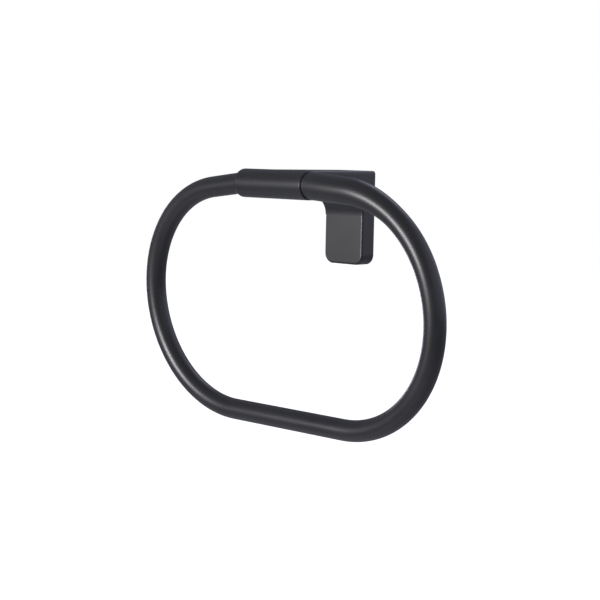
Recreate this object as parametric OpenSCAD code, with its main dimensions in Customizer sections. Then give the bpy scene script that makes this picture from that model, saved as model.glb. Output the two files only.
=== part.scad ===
// Towel ring on a wall bracket.
// The origin is the centre of the bracket's wall face. X runs along the wall, Y points into it, Z is up.

/* [Ring] */
// radius of the wide bend on the left
left_bend = 73; // [70:0.5:78]
// radius of the wide bend on the right
right_bend = 75.5; // [72:0.5:80]
// straight length of the lower bar
ring_bar = 95.8; // [90:0.1:110]
// outside diameter of the ring's tube
tube_d = 13.4; // [12.8:0.1:13.8]
// wall thickness of the ring's tube
tube_wall = 1.2; // [0.8:0.1:1.6]
// distance of the dark line from the middle of the ring
seam_off = 30.2; // [28:0.1:32]
// how far the dark line's middle sits below the top of the wide right bend
seam_drop = 2.1; // [1.8:0.1:2.4]
// slope of the right leg against the lower bar, in degrees
leg_slope = 4.4; // [3.8:0.1:5]
// where the tight upper right bend meets the wide bend, in degrees from the top
bend_meet = 67; // [62:0.5:72]
// swing of the ring's foot towards the wall, in degrees
ring_swing = 5.5; // [2:0.1:8]

/* [Thick end] */
// diameter of the ring's thick end beside the barrel
end_d = 17.2; // [16.8:0.1:17.6]
// diameter of the thick end where its bend starts
neck_d = 16.6; // [16:0.1:16.8]
// where the thick end has thinned down to the tube, in degrees from the top
end_angle = 40; // [36:0.5:44]
// turn of the plug that the thick end puts into the tube, in degrees
plug_angle = 7; // [5:0.5:8]

/* [Barrel] */
// outside diameter of the barrel
barrel_d = 18; // [17.6:0.1:18.6]
// distance of the barrel's axis from the wall
barrel_out = 59; // [54:0.5:66]
// length of the barrel from its left mouth to the arm's right face
barrel_l = 58.7; // [54:0.1:62]
// rounding of the barrel's left mouth
mouth_round = 2.2; // [1.4:0.1:2.4]
// rounding of the barrel's right rim
rim_round = 0.8; // [0.5:0.1:1.2]
// how far the shoulder behind each bush stands in
bore_step = 1; // [0.6:0.1:1.4]
// radial clearance of the ring's tube in the left mouth
mouth_gap = 0.5; // [0.4:0.05:0.7]
// depth of the hollow in the left mouth
mouth_deep = 7.6; // [7.4:0.1:9]

/* [Pivots] */
// diameter of both journals
journal_d = 9; // [8:0.1:9.6]
// length of each journal from its bush's outer end
journal_l = 12; // [10.5:0.5:14]
// radial clearance of a journal in its bush
run_gap = 0.05; // [0.02:0.01:0.08]
// wall thickness of both bushes
bush_t = 1.95; // [1.8:0.05:2.15]
// length of each bush in its seat
bush_l = 10; // [8:0.5:10]
// thickness of the right bush's flange
flange_t = 1.6; // [1.2:0.1:2]
// diameter of the right bush's flange
flange_d = 15.8; // [15:0.1:16.2]
// side play between the flange and the thick end
side_gap = 0.1; // [0.05:0.05:0.2]
// length of the left pivot's solid nose
nose_l = 1.5; // [1:0.1:2]
// length of the left pivot's tail inside the tube
tail_l = 12; // [10:0.5:16]

/* [Bracket] */
// width of the wall block and of the arm
block_w = 33; // [31:0.5:36]
// height of the wall block
block_h = 59.4; // [57:0.2:64]
// depth of the wall block
block_d = 10.8; // [10.6:0.1:12]
// radius of the wall block's lower corners
low_round = 6.5; // [5.5:0.1:7.5]
// radius of the upper edges that run back to the wall
top_round = 2; // [1.6:0.1:2.4]
// rounding of the other edges
edge_round = 1.4; // [1:0.1:1.6]
// radius of the hollow curve below the arm
under_round = 10.5; // [9:0.5:12]
// wall thickness of the hollow block
shell = 2.6; // [2.2:0.1:2.8]
// corner radius of the block's hollow
hollow_round = 1.9; // [1.5:0.1:2.2]
// width of the pocket in the arm
core_w = 22; // [20:0.5:24]
// height of the pocket in the arm
core_h = 10; // [9:0.5:11]
// depth of the pocket in the arm, from the wall
core_deep = 43; // [38:0.5:44]

/* [Wall plate] */
// thickness of the wall plate
plate_t = 3; // [2.8:0.1:3.4]
// clearance round the wall plate
plate_gap = 0.3; // [0.2:0.05:0.4]
// height of the hanging rib
hook_h = 1.6; // [1.4:0.1:1.8]
// thickness of the hanging rib
hook_t = 1.3; // [1.1:0.1:1.5]
// width of the hanging rib
hook_w = 16; // [14:0.5:18]
// distance between the two screw holes
hole_pitch = 28; // [26:0.5:30]
// height of the middle between the two screw holes
hole_mid = 4; // [3:0.5:5]
// diameter of the screw holes
hole_d = 4.6; // [4:0.1:5]
// diameter of the countersinks
sink_d = 8.6; // [8:0.1:9.2]
// width of the locking pad
pad_w = 14; // [12:0.5:16]
// height of the locking pad
pad_h = 7; // [6:0.5:8]
// how far the locking pad stands out of the plate
pad_out = 4.6; // [4.4:0.1:4.8]

/* [Grub screw] */
// diameter of the grub screw
grub_d = 4; // [3.6:0.1:4.2]
// length of the grub screw
grub_l = 4.2; // [4:0.1:4.4]
// width of its socket across the corners
key_w = 2.3; // [2:0.1:2.4]
// depth of its socket
key_deep = 2.2; // [1.8:0.1:2.4]
// radial clearance of its hole
grub_gap = 0.05; // [0.02:0.01:0.08]

/* [Hidden] */
$fn = 96;
two = 2;
quarter = 90;
half = two * quarter;
turn_round = two * half;
hex = 6;
// stations of the thick end along its bend, and sides of its sections
stations = 14;
sides = 48;
// how far a cut runs past the surface it opens
over = barrel_d / 16;
tube_r = tube_d / two;
tube_in = tube_r - tube_wall;
// ground welds between the ring's stretches: how far they stand out, and how wide they are
weld = tube_d / 400;
weld_w = tube_wall;
end_r = end_d / two;
neck_r = neck_d / two;
barrel_r = barrel_d / two;
journal_r = journal_d / two;
bush_in = journal_r + run_gap;
seat_r = bush_in + bush_t;
bore_r = seat_r - bore_step;
mouth_r = tube_r + mouth_gap;
side = block_w / two;
top = block_h / two;
// the barrel's crown is flush with the block's top
axis_z = top - barrel_r;
axis_y = -barrel_out;
mouth_x = side - barrel_l;
seam_x = side + flange_t / two;
end_x = side + flange_t + side_gap;
under_z = axis_z - barrel_r;

// the ring in its own plane, from the middle of the dark line
right_x = ring_bar / two - seam_off;
right_y = seam_drop - right_bend;
left_x = -ring_bar / two - seam_off;
left_y = right_y - right_bend + left_bend;
// the tight bend touches the right leg and the wide bend
slack = right_bend + right_x * sin(leg_slope) + right_y * cos(leg_slope);
tight_off = slack / (1 - cos(bend_meet - leg_slope));
tight_r = right_bend - tight_off;
tight_x = right_x + tight_off * sin(bend_meet);
tight_y = right_y + tight_off * cos(bend_meet);
leg_l = tight_x * cos(leg_slope) - tight_y * sin(leg_slope);
// the left leg runs from the wide bend to the middle of the barrel's mouth
mouth_l = seam_x - mouth_x;
far_x = -mouth_l - left_x;
far_l = sqrt(far_x * far_x + left_y * left_y);
left_slope = acos(left_bend / far_l) - atan2(far_x, -left_y);
left_l = sqrt(far_l * far_l - left_bend * left_bend);

cave_top = top - shell;
cave_w = side - shell;
cave_d = block_d - shell;
plate_low = -cave_top + hook_h + plate_gap;
pad_y = -plate_t - pad_out / two;

// flat drawing in X and Z, raised from the wall towards the room
module out(h) {
  rotate([quarter, 0, 0])
    linear_extrude(height = h)
      children();
}

// lengthwise shapes: the drawing's own Z becomes the wall's X
module across(x) {
  translate([x, axis_y, axis_z])
    rotate([0, quarter, 0])
      children();
}

// the ring's plane, swung about the barrel's axis
module swung() {
  translate([seam_x, axis_y, axis_z])
    rotate([quarter + ring_swing, 0, 0])
      children();
}

// thick end's radius at a share of its way down the bend
function thick(t) = neck_r - (neck_r - tube_r) * t * t * (3 - two * t);

// angle of a station of the thick end, counted from the top of its bend
function station_turn(k) = leg_slope + max(k, 0) * (end_angle - leg_slope) / stations;

// middle of a station: the first one lies on the leg, behind the end face
function station_x(k) = k < 0 ? -over * cos(leg_slope) : tight_x + tight_r * sin(station_turn(k));
function station_y(k) = k < 0 ? over * sin(leg_slope) : tight_y + tight_r * cos(station_turn(k));

// one corner of a station's section
function corner(k, j) =
  let(a = station_turn(k), b = j * turn_round / sides, r = k < 0 ? end_r : thick(k / stations))
  [station_x(k) + r * cos(b) * sin(a), station_y(k) + r * cos(b) * cos(a), r * sin(b)];

module outline(inset) {
  w = side - inset;
  h = top - inset;
  low = low_round - inset;
  up = top_round - inset;
  union() {
    translate([-w + low, -h])
      square([two * (w - low), two * h - up]);
    translate([-w, -h + low])
      square([two * w, two * h - low - up]);
    translate([-w + up, -h + low])
      square([two * (w - up), two * h - low]);
    for (s = [-1, 1]) {
      translate([s * (w - low), -h + low])
        circle(r = low);
      translate([s * (w - up), h - up])
        circle(r = up);
    }
  }
}

module block() {
  out(block_d - edge_round)
    outline(0);
  out(block_d)
    outline(edge_round);
  for (s = [-1, 1]) {
    translate([s * (side - edge_round), edge_round - block_d, low_round - top])
      cylinder(r = edge_round, h = block_h - low_round - top_round);
    translate([s * (side - low_round), edge_round - block_d, low_round - top])
      rotate([quarter, 0, 0])
        rotate_extrude()
          translate([low_round - edge_round, 0])
            circle(r = edge_round);
  }
  translate([low_round - side, edge_round - block_d, edge_round - top])
    rotate([0, quarter, 0])
      cylinder(r = edge_round, h = block_w - two * low_round);
}

// the arm's cross-section, with wide rounding above and fine rounding below
module arm_section() {
  union() {
    translate([edge_round - side, under_z])
      square([block_w - two * edge_round, barrel_d - top_round]);
    translate([-side, under_z + edge_round])
      square([block_w, barrel_d - edge_round - top_round]);
    translate([top_round - side, under_z + edge_round])
      square([block_w - two * top_round, barrel_d - edge_round]);
    for (s = [-1, 1]) {
      translate([s * (side - edge_round), under_z + edge_round])
        circle(r = edge_round);
      translate([s * (side - top_round), top - top_round])
        circle(r = top_round);
    }
  }
}

// corner below the arm, hollowed by a circle
module under_fill(r) {
  difference() {
    translate([-block_d - under_round, under_z - under_round])
      square([under_round + shell, under_round + shell]);
    translate([-block_d - under_round, under_z - under_round])
      circle(r = r);
  }
}

module under_curve() {
  rotate([quarter, 0, quarter]) {
    translate([0, 0, edge_round - side])
      linear_extrude(height = block_w - two * edge_round)
        under_fill(under_round);
    translate([0, 0, -side])
      linear_extrude(height = block_w)
        under_fill(under_round + edge_round);
    for (s = [-1, 1])
      translate([-block_d - under_round, under_z - under_round, s * (side - edge_round)])
        rotate_extrude(angle = quarter)
          translate([under_round + edge_round, 0])
            circle(r = edge_round);
  }
}

module barrel() {
  across(mouth_x)
    rotate_extrude()
      union() {
        translate([0, mouth_round])
          square([barrel_r, barrel_l - mouth_round - rim_round]);
        square([barrel_r - mouth_round, barrel_l]);
        translate([0, mouth_round])
          square([barrel_r - rim_round, barrel_l - mouth_round]);
        translate([barrel_r - mouth_round, mouth_round])
          circle(r = mouth_round);
        translate([barrel_r - rim_round, barrel_l - rim_round])
          circle(r = rim_round);
      }
}

module cave() {
  translate([0, over, 0])
    out(cave_d + over)
      union() {
        translate([hollow_round - cave_w, -cave_top])
          square([two * (cave_w - hollow_round), two * cave_top]);
        translate([-cave_w, hollow_round - cave_top])
          square([two * cave_w, two * (cave_top - hollow_round)]);
        for (sx = [-1, 1])
          for (sz = [-1, 1])
            translate([sx * (cave_w - hollow_round), sz * (cave_top - hollow_round)])
              circle(r = hollow_round);
      }
}

module bracket() {
  color([0.07, 0.07, 0.08])
    union() {
      difference() {
        union() {
          block();
          out(barrel_out)
            arm_section();
          under_curve();
          barrel();
        }
        cave();
        translate([-core_w / two, -core_deep, axis_z - core_h / two])
          cube([core_w, core_deep, core_h]);
        across(mouth_x - over)
          cylinder(r = mouth_r, h = mouth_deep + over);
        across(mouth_x)
          cylinder(r = seat_r, h = mouth_deep + bush_l);
        across(mouth_x)
          cylinder(r = bore_r, h = barrel_l);
        across(side - bush_l)
          cylinder(r = seat_r, h = bush_l + over);
        translate([0, pad_y, -top - over])
          cylinder(r = grub_d / two + grub_gap, h = shell + two * over);
      }
      translate([-hook_w / two, -hook_t, cave_top - hook_h])
        cube([hook_w, hook_t, hook_h + over]);
    }
}

// plain bush in the left seat
module bush_left() {
  color([0.03, 0.03, 0.03])
    across(mouth_x + mouth_deep)
      difference() {
        cylinder(r = seat_r, h = bush_l);
        translate([0, 0, -over])
          cylinder(r = bush_in, h = bush_l + two * over);
      }
}

// flanged bush in the right seat: the flange is the dark line
module bush_right() {
  color([0.03, 0.03, 0.03])
    across(side - bush_l)
      difference() {
        union() {
          cylinder(r = seat_r, h = bush_l + flange_t);
          translate([0, 0, bush_l])
            cylinder(r = flange_d / two, h = flange_t);
        }
        translate([0, 0, -over])
          cylinder(r = bush_in, h = bush_l + flange_t + two * over);
      }
}

// stretches of the ring as rods of any radius, with a narrow band of weld at each joint
module rod_bend(x, y, r, from, turn, w) {
  translate([x, y, 0])
    rotate([0, 0, from])
      rotate_extrude(angle = turn)
        translate([r, 0])
          circle(r = w);
}

module joint_band(x, y, r, at, w) {
  translate([x + r * sin(at), y + r * cos(at), 0])
    rotate([0, quarter, -at])
      translate([0, 0, -weld_w / two])
        cylinder(r = w + weld, h = weld_w);
}

module ring_rod(w) {
  rod_bend(tight_x, tight_y, tight_r, quarter - bend_meet, bend_meet - end_angle, w);
  joint_band(tight_x, tight_y, tight_r, bend_meet, w);
  rod_bend(right_x, right_y, right_bend, -quarter, half - bend_meet, w);
  joint_band(right_x, right_y, right_bend, half, w);
  translate([left_x, left_y - left_bend, 0])
    rotate([0, quarter, 0])
      cylinder(r = w, h = ring_bar);
  joint_band(left_x, left_y, left_bend, half, w);
  rod_bend(left_x, left_y, left_bend, quarter + left_slope, half - left_slope, w);
  joint_band(left_x, left_y, left_bend, -left_slope, w);
  left_leg(nose_l)
    cylinder(r = w, h = left_l - nose_l);
}

// down the left leg, a distance away from the barrel's mouth
module left_leg(l) {
  translate([-mouth_l, 0, 0])
    rotate([0, 0, left_slope])
      rotate([0, -quarter, 0])
        translate([0, 0, l])
          children();
}

module ring_tube() {
  color([0.07, 0.07, 0.08])
    swung()
      difference() {
        ring_rod(tube_r);
        ring_rod(tube_in);
      }
}

// the thick end's skin: sections square to the bend, joined side by side
module thick_skin() {
  last = stations + 1;
  polyhedron(
    points = [for (k = [-1 : stations]) for (j = [0 : sides - 1]) corner(k, j)],
    faces = concat(
      [[for (j = [0 : sides - 1]) j]],
      [[for (j = [sides - 1 : -1 : 0]) last * sides + j]],
      [for (k = [0 : stations]) for (j = [0 : sides - 1])
        [k * sides + j, (k + 1) * sides + j, (k + 1) * sides + (j + 1) % sides, k * sides + (j + 1) % sides]]
    )
  );
}

module ring_end() {
  color([0.07, 0.07, 0.08])
    union() {
      difference() {
        swung()
          union() {
            thick_skin();
            rod_bend(tight_x, tight_y, tight_r, quarter - end_angle - plug_angle, two * plug_angle, tube_in);
          }
        translate([end_x - barrel_d, axis_y - barrel_d, axis_z - barrel_d])
          cube([barrel_d, two * barrel_d, two * barrel_d]);
      }
      across(side - journal_l)
        cylinder(r = journal_r, h = journal_l + flange_t + over);
    }
}

module left_pivot() {
  color([0.07, 0.07, 0.08])
    union() {
      across(mouth_x)
        cylinder(r = journal_r, h = mouth_deep + journal_l);
      swung() {
        left_leg(0) {
          sphere(r = tube_r);
          cylinder(r = tube_r, h = nose_l);
          cylinder(r = tube_in, h = nose_l + tail_l);
        }
      }
    }
}

module wall_plate() {
  color([0.62, 0.63, 0.65])
    difference() {
      union() {
        translate([plate_gap - cave_w, -plate_t, plate_low])
          cube([two * (cave_w - plate_gap), plate_t, cave_top - hollow_round - plate_low]);
        translate([hollow_round - cave_w, -plate_t, plate_low])
          cube([two * (cave_w - hollow_round), plate_t, cave_top - plate_low]);
        translate([-pad_w / two, -plate_t - pad_out, plate_low])
          cube([pad_w, pad_out + over, pad_h]);
      }
      translate([-hook_w / two - plate_gap, -hook_t - run_gap, cave_top - hook_h - plate_gap])
        cube([hook_w + two * plate_gap, hook_t + run_gap + over, hook_h + plate_gap + over]);
      for (s = [-1, 1])
        translate([0, 0, hole_mid + s * hole_pitch / two])
          rotate([quarter, 0, 0]) {
            translate([0, 0, -over])
              cylinder(r = hole_d / two, h = plate_t + two * over);
            translate([0, 0, plate_t - (sink_d - hole_d) / two])
              cylinder(r1 = hole_d / two, r2 = sink_d / two, h = (sink_d - hole_d) / two);
          }
    }
}

module grub_screw() {
  color([0.3, 0.3, 0.32])
    translate([0, pad_y, plate_low - grub_l])
      difference() {
        cylinder(r = grub_d / two, h = grub_l);
        translate([0, 0, -over])
          cylinder(r = key_w / two, h = key_deep + over, $fn = hex);
      }
}

bracket();
bush_right();
bush_left();
ring_tube();
ring_end();
left_pivot();
wall_plate();
grub_screw();
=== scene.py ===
"""Looks of a towel ring on a wall bracket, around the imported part. Metres, in the part's own frame:
the origin is the centre of the bracket's wall face, X runs along the wall, Y points into it, Z is up."""

import math

import bmesh
import bpy
from mathutils import Matrix, Vector

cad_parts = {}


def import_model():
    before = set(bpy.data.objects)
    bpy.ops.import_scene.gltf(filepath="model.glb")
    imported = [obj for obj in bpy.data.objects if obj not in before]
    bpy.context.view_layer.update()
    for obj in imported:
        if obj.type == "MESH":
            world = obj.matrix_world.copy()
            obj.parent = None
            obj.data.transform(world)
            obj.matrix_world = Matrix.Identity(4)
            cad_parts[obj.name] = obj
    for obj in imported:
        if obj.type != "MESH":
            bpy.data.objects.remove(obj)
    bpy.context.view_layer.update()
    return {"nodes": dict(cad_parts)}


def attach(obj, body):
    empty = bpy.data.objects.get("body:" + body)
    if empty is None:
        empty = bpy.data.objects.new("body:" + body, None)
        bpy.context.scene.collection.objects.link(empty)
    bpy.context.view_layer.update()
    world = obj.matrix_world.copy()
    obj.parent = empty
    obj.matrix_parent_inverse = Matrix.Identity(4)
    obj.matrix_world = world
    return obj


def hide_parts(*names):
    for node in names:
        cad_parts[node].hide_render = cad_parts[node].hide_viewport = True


MM = 0.001

# sizes of the part's source, in millimetres and degrees
LEFT_BEND = 73.0
RIGHT_BEND = 75.5
RING_BAR = 95.8
TUBE_R = 6.7
SEAM_OFF = 30.2
SEAM_DROP = 2.1
LEG_SLOPE = 4.4
BEND_MEET = 67.0
RING_SWING = 5.5
END_R = 8.6
NECK_R = 8.3
END_ANGLE = 40.0
BARREL_OUT = 59.0
BARREL_L = 58.7
BARREL_R = 9.0
BLOCK_W = 33.0
BLOCK_H = 59.4
MOUTH_DEEP = 7.6
JOURNAL_R = 4.5
JOURNAL_L = 12.0
FLANGE_T = 1.6
SIDE_GAP = 0.1

SIDE = BLOCK_W / 2
TOP = BLOCK_H / 2
AXIS_Y = -BARREL_OUT
AXIS_Z = TOP - BARREL_R
MOUTH_X = SIDE - BARREL_L
SEAM_X = SIDE + FLANGE_T / 2
END_X = SIDE + FLANGE_T + SIDE_GAP

# how far the ring's skin lies inside the part's surface, and roundings that only the looks have
SKIN = 0.02
RIM = 0.5
TIP_CHAMFER = 0.5

# corners of a section, and the steps along the bends and round the rim, in degrees
SIDES = 72
BEND_STEP = 1.5
RIM_STEP = 15
# angles of the ball at the left leg's end, and how far before it the leg's last section lies
BALL_TURNS = (12, 24, 36)
LEG_LAST = 1.5
# an edge sharper than this stays an edge in the shading
SHARP = 40

# where most values of a noise lie
NOISE_LOW = 0.3
NOISE_HIGH = 0.7
# depth of the paint's grain, in metres
GRAIN = 0.00002

# the photograph's camera: its place in metres, its angles in degrees, its lens and sensor in millimetres
CAMERA_AT = (0.649652, -0.713236, 0.042278)
CAMERA_AZIMUTH = 44.351
CAMERA_ELEVATION = 5.706
CAMERA_ROLL = -1.17
CAMERA_LENS = 90.438
CAMERA_SENSOR = 36
CAMERA_NEAR = 0.01
CAMERA_FAR = 50

# the key is white, the light from the room slightly cool
WHITE = (1.0, 0.99, 1.01)
COOL = (0.94, 0.965, 1.17)

# the world's light: its level, a brighter side behind on the right, and a darker patch behind the object
WORLD_LEVEL = 0.27
SIDE_LEVEL = 0.9
SIDE_WAY = (0.8, 0.6, 0.0)
SIDE_SPREAD = (0.25, 0.85)
PATCH_SHARE = 0.4
PATCH_WAY = (-0.695, 0.711, -0.099)
PATCH_SPREAD = (0.8, 0.97)

FLOOR_Z = -2.0
FLOOR_SIZE = 40
FLOOR_LIFT = 0.9

# lamps stand LAMP_AWAY from the point they aim at; azimuth 0 is out from the wall, 90 is to the right
LAMP_AIM = (-0.015, -0.045, -0.045)
LAMP_AWAY = 2.5
LAMPS = {
    "key": {"azimuth": -16, "elevation": 4.5, "size": (1.05, 0.55), "radiance": 36, "colour": WHITE},
    "left": {"azimuth": -112, "elevation": -6, "size": (0.8, 0.9), "radiance": 2.6, "colour": COOL},
    "high_behind": {"azimuth": -164, "elevation": 45, "size": (1.3, 1.0), "radiance": 1.4, "colour": COOL},
}


def sin(a):
    return math.sin(math.radians(a))


def cos(a):
    return math.cos(math.radians(a))


def steps(start, stop, step):
    """Evenly spaced values from start to stop, both included."""
    n = max(1, round(abs(stop - start) / step))
    return [start + (stop - start) * k / n for k in range(n + 1)]


# the ring


class RingPath:
    """The ring's centreline in its own plane, as the part's source draws it: x along the barrel, y up."""

    def __init__(self):
        self.right_x = RING_BAR / 2 - SEAM_OFF
        self.right_y = SEAM_DROP - RIGHT_BEND
        self.left_x = -RING_BAR / 2 - SEAM_OFF
        self.left_y = self.right_y - RIGHT_BEND + LEFT_BEND
        slack = RIGHT_BEND + self.right_x * sin(LEG_SLOPE) + self.right_y * cos(LEG_SLOPE)
        tight_off = slack / (1 - cos(BEND_MEET - LEG_SLOPE))
        self.tight_r = RIGHT_BEND - tight_off
        self.tight_x = self.right_x + tight_off * sin(BEND_MEET)
        self.tight_y = self.right_y + tight_off * cos(BEND_MEET)
        self.nose_x = MOUTH_X - SEAM_X
        far_x = self.nose_x - self.left_x
        far = math.hypot(far_x, self.left_y)
        self.left_slope = math.degrees(math.acos(LEFT_BEND / far) - math.atan2(far_x, -self.left_y))
        self.left_l = math.sqrt(far * far - LEFT_BEND * LEFT_BEND)

    def thick(self, turn):
        """Radius of the thick end at an angle from the top of its bend."""
        t = min(1, max(0, (turn - LEG_SLOPE) / (END_ANGLE - LEG_SLOPE)))
        return NECK_R - (NECK_R - TUBE_R) * t * t * (3 - 2 * t)

    def stations(self):
        """(x, y, direction x, direction y, radius) from the thick end round to the left leg's end."""
        found = []
        for turn in steps(LEG_SLOPE, BEND_MEET, BEND_STEP):
            found.append(bend_station(self.tight_x, self.tight_y, self.tight_r, turn, self.thick(turn)))
        for turn in steps(BEND_MEET, 180, BEND_STEP)[1:]:
            found.append(bend_station(self.right_x, self.right_y, RIGHT_BEND, turn, TUBE_R))
        for turn in steps(180, 360 - self.left_slope, BEND_STEP):
            found.append(bend_station(self.left_x, self.left_y, LEFT_BEND, turn, TUBE_R))
        dx, dy = cos(self.left_slope), sin(self.left_slope)
        for away in (self.left_l / 2, LEG_LAST):
            found.append((self.nose_x - away * dx, -away * dy, dx, dy, TUBE_R))
        return found


def bend_station(x, y, bend, turn, r):
    """A station on the bend about (x, y), at an angle from its top."""
    return (x + bend * sin(turn), y + bend * cos(turn), cos(turn), -sin(turn), r)


def ring_to_part():
    """From the ring's plane to the part's frame, in millimetres."""
    swing = Matrix.Rotation(math.radians(90 + RING_SWING), 4, "X")
    return Matrix.Translation((SEAM_X, AXIS_Y, AXIS_Z)) @ swing


def round_turns():
    """The angles of a section's corners."""
    return [360 * j / SIDES for j in range(SIDES)]


def axis_loop(x, r):
    """A circle about the barrel's axis, in the same order as the ring's sections."""
    return [Vector((x, AXIS_Y - r * sin(b), AXIS_Z + r * cos(b))) for b in round_turns()]


def section(x, y, dx, dy, r):
    """A circle square to the ring's path, in the ring's plane frame."""
    r -= SKIN
    return [Vector((x - dy * r * cos(b), y + dx * r * cos(b), r * sin(b))) for b in round_turns()]


def right_journal():
    """The journal in the right bush, from its tip to the thick end's face."""
    tip = SIDE - JOURNAL_L
    return [
        axis_loop(tip, JOURNAL_R - TIP_CHAMFER),
        axis_loop(tip + TIP_CHAMFER, JOURNAL_R),
        axis_loop(END_X, JOURNAL_R),
    ]


def thick_face(place):
    """The thick end's face, which stands square to the barrel, with its small rounded rim."""
    dx, dy = cos(LEG_SLOPE), -sin(LEG_SLOPE)
    loops = []
    for a in steps(0, 90, RIM_STEP):
        r = END_R - RIM + RIM * sin(a)
        x = END_X + RIM * (1 - cos(a))
        loop = []
        for v in section(0, 0, dx, dy, r):
            slide = (x - (place @ v).x) / dx
            loop.append(place @ (v + Vector((dx, dy, 0)) * slide))
        loops.append(loop)
    return loops


def left_end(path, place):
    """The ball at the left leg's end, in the barrel's mouth, and the journal beyond it."""
    dx, dy = cos(path.left_slope / 2), sin(path.left_slope / 2)
    loops = [[place @ v for v in section(path.nose_x, 0, dx, dy, TUBE_R)]]
    for a in (*BALL_TURNS, math.degrees(math.acos(JOURNAL_R / TUBE_R))):
        loops.append(axis_loop(MOUTH_X + TUBE_R * sin(a), TUBE_R * cos(a)))
    tip = MOUTH_X + MOUTH_DEEP + JOURNAL_L
    loops.append(axis_loop(tip - TIP_CHAMFER, JOURNAL_R))
    loops.append(axis_loop(tip, JOURNAL_R - TIP_CHAMFER))
    return loops


def ring_loops():
    """All loops of the ring's skin, from the tip of the right journal to the tip of the left one."""
    path = RingPath()
    place = ring_to_part()
    tube = [[place @ v for v in section(*station)] for station in path.stations()]
    return right_journal() + thick_face(place) + tube + left_end(path, place)


def loft(name, loops):
    """A closed skin through loops of equal length, in millimetres."""
    bm = bmesh.new()
    rows = [[bm.verts.new(v * MM) for v in loop] for loop in loops]
    for a, b in zip(rows, rows[1:]):
        n = len(a)
        for j in range(n):
            bm.faces.new((a[j], a[(j + 1) % n], b[(j + 1) % n], b[j]))
    bm.faces.new(reversed(rows[0]))
    bm.faces.new(rows[-1])
    bmesh.ops.recalc_face_normals(bm, faces=bm.faces)
    return mesh_object(name, bm)


def mesh_object(name, bm):
    """An object from a finished bmesh, shaded smooth but for its sharp edges."""
    mesh = bpy.data.meshes.new(name)
    bm.to_mesh(mesh)
    bm.free()
    for p in mesh.polygons:
        p.use_smooth = True
    mesh.set_sharp_from_angle(angle=math.radians(SHARP))
    obj = bpy.data.objects.new(name, mesh)
    bpy.context.scene.collection.objects.link(obj)
    return obj


def make_ring():
    """One skin over the ring's tube, its thick end and its pivots."""
    ring = loft("ring_skin", ring_loops())
    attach(ring, "ring")
    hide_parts("ring_tube", "ring_end", "left_pivot")
    return ring


# materials


class Look:
    """A material in the making: its nodes and links, its shader, and the place on the object."""

    def __init__(self, name):
        self.mat = bpy.data.materials.new(name)
        self.mat.use_nodes = True
        self.nodes, self.links = self.mat.node_tree.nodes, self.mat.node_tree.links
        self.nodes.clear()
        self.out = self.nodes.new("ShaderNodeOutputMaterial")
        self.shader = self.nodes.new("ShaderNodeBsdfPrincipled")
        self.links.new(self.shader.outputs["BSDF"], self.out.inputs["Surface"])
        self.place = self.nodes.new("ShaderNodeTexCoord").outputs["Object"]

    def noise(self, scale, detail=3.0, place=None):
        """Noise over the object, or over another place that is given."""
        tex = self.nodes.new("ShaderNodeTexNoise")
        tex.inputs["Scale"].default_value = scale
        tex.inputs["Detail"].default_value = detail
        self.links.new(place or self.place, tex.inputs["Vector"])
        return tex.outputs["Fac"]

    def tint(self, source, dark, light, low=NOISE_LOW, high=NOISE_HIGH):
        """A colour from dark to light that follows a noise."""
        node = self.nodes.new("ShaderNodeValToRGB")
        for element, at, colour in zip(node.color_ramp.elements, (low, high), (dark, light)):
            element.position = at
            element.color = (*colour, 1)
        self.links.new(source, node.inputs["Fac"])
        self.links.new(node.outputs["Color"], self.shader.inputs["Base Color"])

    def roughen(self, source, low, high):
        """A roughness from low to high that follows a noise."""
        node = self.nodes.new("ShaderNodeMapRange")
        node.inputs["From Min"].default_value = NOISE_LOW
        node.inputs["From Max"].default_value = NOISE_HIGH
        node.inputs["To Min"].default_value = low
        node.inputs["To Max"].default_value = high
        self.links.new(source, node.inputs["Value"])
        self.links.new(node.outputs["Result"], self.shader.inputs["Roughness"])

    def bump(self, source, distance, strength):
        """Small unevenness that follows a noise."""
        node = self.nodes.new("ShaderNodeBump")
        node.inputs["Distance"].default_value = distance
        node.inputs["Strength"].default_value = strength
        self.links.new(source, node.inputs["Height"])
        self.links.new(node.outputs["Normal"], self.shader.inputs["Normal"])


def black_coat():
    """Matte black paint: a fine grain over a faint, wider unevenness."""
    look = Look("black_coat")
    broad = look.noise(scale=38, detail=2)
    fine = look.noise(scale=2600, detail=2)
    look.tint(broad, dark=(0.012, 0.012, 0.013), light=(0.016, 0.016, 0.017))
    look.roughen(broad, low=0.35, high=0.38)
    look.bump(fine, distance=GRAIN, strength=0.1)
    look.shader.inputs["IOR"].default_value = 1.5
    return look.mat


def dark_plastic():
    """Black bearing plastic, a little uneven."""
    look = Look("dark_plastic")
    broad = look.noise(scale=90)
    look.tint(broad, dark=(0.010, 0.010, 0.011), light=(0.015, 0.015, 0.016))
    look.roughen(broad, low=0.5, high=0.6)
    return look.mat


def plated_steel():
    """Zinc-plated sheet with fine rolling lines across its width."""
    look = Look("plate_steel")
    stretch = look.nodes.new("ShaderNodeMapping")
    stretch.inputs["Scale"].default_value = (60, 60, 1800)
    look.links.new(look.place, stretch.inputs["Vector"])
    lines = look.noise(scale=1, place=stretch.outputs["Vector"])
    look.tint(lines, dark=(0.42, 0.43, 0.45), light=(0.58, 0.59, 0.61))
    look.roughen(lines, low=0.32, high=0.45)
    look.shader.inputs["Metallic"].default_value = 1.0
    return look.mat


def screw_steel():
    """Blackened hardened steel, a little worn."""
    look = Look("screw_steel")
    spots = look.noise(scale=1400, detail=4)
    look.tint(spots, dark=(0.10, 0.10, 0.105), light=(0.22, 0.22, 0.225), low=0.35, high=0.75)
    look.roughen(spots, low=0.35, high=0.5)
    look.shader.inputs["Metallic"].default_value = 1.0
    return look.mat


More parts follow.
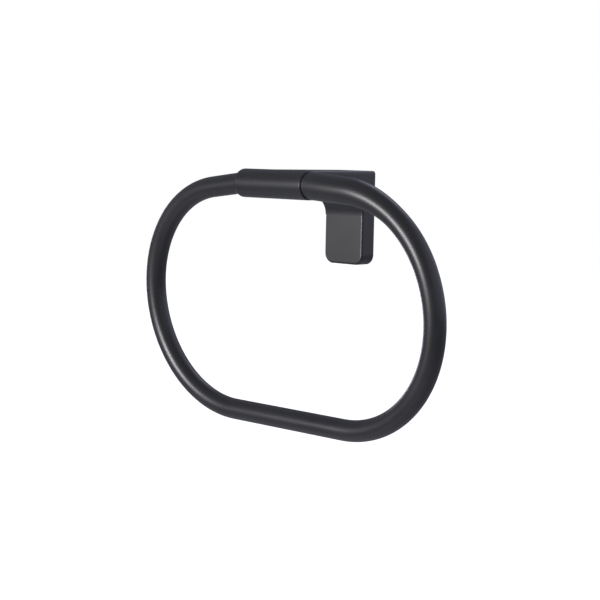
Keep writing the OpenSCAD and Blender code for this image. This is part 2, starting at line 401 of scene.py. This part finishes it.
def give(obj, mat):
    obj.data.materials.clear()
    obj.data.materials.append(mat)


# the studio


def make_camera():
    across = Vector((cos(CAMERA_AZIMUTH), sin(CAMERA_AZIMUTH), 0))
    level = cos(CAMERA_ELEVATION)
    back = Vector((sin(CAMERA_AZIMUTH) * level, -cos(CAMERA_AZIMUTH) * level, sin(CAMERA_ELEVATION)))
    below = (-back).cross(across)
    right = across * cos(CAMERA_ROLL) + below * sin(CAMERA_ROLL)
    down = below * cos(CAMERA_ROLL) - across * sin(CAMERA_ROLL)
    cam = bpy.data.cameras.new("camera")
    cam.lens = CAMERA_LENS
    cam.sensor_width = CAMERA_SENSOR
    cam.clip_start = CAMERA_NEAR
    cam.clip_end = CAMERA_FAR
    obj = bpy.data.objects.new("camera", cam)
    obj.matrix_world = Matrix((*zip(right, -down, back, CAMERA_AT), (0, 0, 0, 1)))
    bpy.context.scene.collection.objects.link(obj)
    bpy.context.scene.camera = obj


def towards(nodes, links, way, spread, low, high):
    """A level that goes smoothly from low to high as a direction turns towards a given way."""
    place = nodes.new("ShaderNodeTexCoord")
    dot = nodes.new("ShaderNodeVectorMath")
    dot.operation = "DOT_PRODUCT"
    dot.inputs[1].default_value = way
    links.new(place.outputs["Generated"], dot.inputs[0])
    level = nodes.new("ShaderNodeMapRange")
    level.interpolation_type = "SMOOTHSTEP"
    level.inputs["From Min"].default_value, level.inputs["From Max"].default_value = spread
    level.inputs["To Min"].default_value = low
    level.inputs["To Max"].default_value = high
    links.new(dot.outputs["Value"], level.inputs["Value"])
    return level.outputs["Result"]


def make_world():
    """Plain white for the camera. The light itself is a dim grey that is stronger behind on the right, and
    weaker in the patch behind the object, which surfaces seen at a slant mirror."""
    world = bpy.data.worlds.new("studio")
    bpy.context.scene.world = world
    world.use_nodes = True
    nodes, links = world.node_tree.nodes, world.node_tree.links
    nodes.clear()
    strength = nodes.new("ShaderNodeMath")
    strength.operation = "MULTIPLY"
    links.new(towards(nodes, links, SIDE_WAY, SIDE_SPREAD, WORLD_LEVEL, SIDE_LEVEL), strength.inputs[0])
    links.new(towards(nodes, links, PATCH_WAY, PATCH_SPREAD, 1.0, PATCH_SHARE), strength.inputs[1])
    lit = nodes.new("ShaderNodeBackground")
    lit.inputs["Color"].default_value = (*COOL, 1)
    links.new(strength.outputs["Value"], lit.inputs["Strength"])
    white = nodes.new("ShaderNodeBackground")
    white.inputs["Color"].default_value = (1, 1, 1, 1)
    white.inputs["Strength"].default_value = 1
    ray = nodes.new("ShaderNodeLightPath")
    mix = nodes.new("ShaderNodeMixShader")
    links.new(ray.outputs["Is Camera Ray"], mix.inputs["Fac"])
    links.new(lit.outputs["Background"], mix.inputs[1])
    links.new(white.outputs["Background"], mix.inputs[2])
    out = nodes.new("ShaderNodeOutputWorld")
    links.new(mix.outputs["Shader"], out.inputs["Surface"])


def pale_floor():
    """A pale grey that keeps the object's shadow and is lifted towards white for the camera."""
    look = Look("pale_floor")
    look.tint(look.noise(scale=6), dark=(0.66, 0.66, 0.66), light=(0.70, 0.70, 0.70))
    look.shader.inputs["Roughness"].default_value = 0.9
    ray = look.nodes.new("ShaderNodeLightPath")
    strength = look.nodes.new("ShaderNodeMath")
    strength.operation = "MULTIPLY"
    strength.inputs[1].default_value = FLOOR_LIFT
    look.links.new(ray.outputs["Is Camera Ray"], strength.inputs[0])
    glow = look.nodes.new("ShaderNodeEmission")
    look.links.new(strength.outputs["Value"], glow.inputs["Strength"])
    both = look.nodes.new("ShaderNodeAddShader")
    look.links.new(look.shader.outputs["BSDF"], both.inputs[0])
    look.links.new(glow.outputs["Emission"], both.inputs[1])
    look.links.new(both.outputs["Shader"], look.out.inputs["Surface"])
    return look.mat


def make_floor():
    bm = bmesh.new()
    h = FLOOR_SIZE / 2
    bm.faces.new([bm.verts.new((x, y, FLOOR_Z)) for x, y in ((-h, -h), (h, -h), (h, h), (-h, h))])
    floor = mesh_object("floor", bm)
    give(floor, pale_floor())


def make_lamp(name, azimuth, elevation, size, radiance, colour):
    """A soft rectangular lamp that aims at the object from a given direction."""
    aim = Vector(LAMP_AIM)
    level = cos(elevation)
    at = aim + Vector((sin(azimuth) * level, -cos(azimuth) * level, sin(elevation))) * LAMP_AWAY
    lamp = bpy.data.lights.new(name, "AREA")
    lamp.shape = "RECTANGLE"
    lamp.size, lamp.size_y = size
    lamp.energy = radiance * math.pi * lamp.size * lamp.size_y
    lamp.color = colour
    obj = bpy.data.objects.new(name, lamp)
    obj.location = at
    obj.rotation_euler = (aim - at).to_track_quat("-Z", "Y").to_euler()
    bpy.context.scene.collection.objects.link(obj)


def main():
    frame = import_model()
    bpy.context.scene.view_settings.view_transform = "Standard"

    coat, plastic = black_coat(), dark_plastic()
    nodes = frame["nodes"]
    give(nodes["bracket"], coat)
    give(nodes["bush_right"], plastic)
    give(nodes["bush_left"], plastic)
    give(nodes["wall_plate"], plated_steel())
    give(nodes["grub_screw"], screw_steel())
    give(make_ring(), coat)

    make_camera()
    make_world()
    make_floor()
    for name, values in LAMPS.items():
        make_lamp(name, **values)


main()
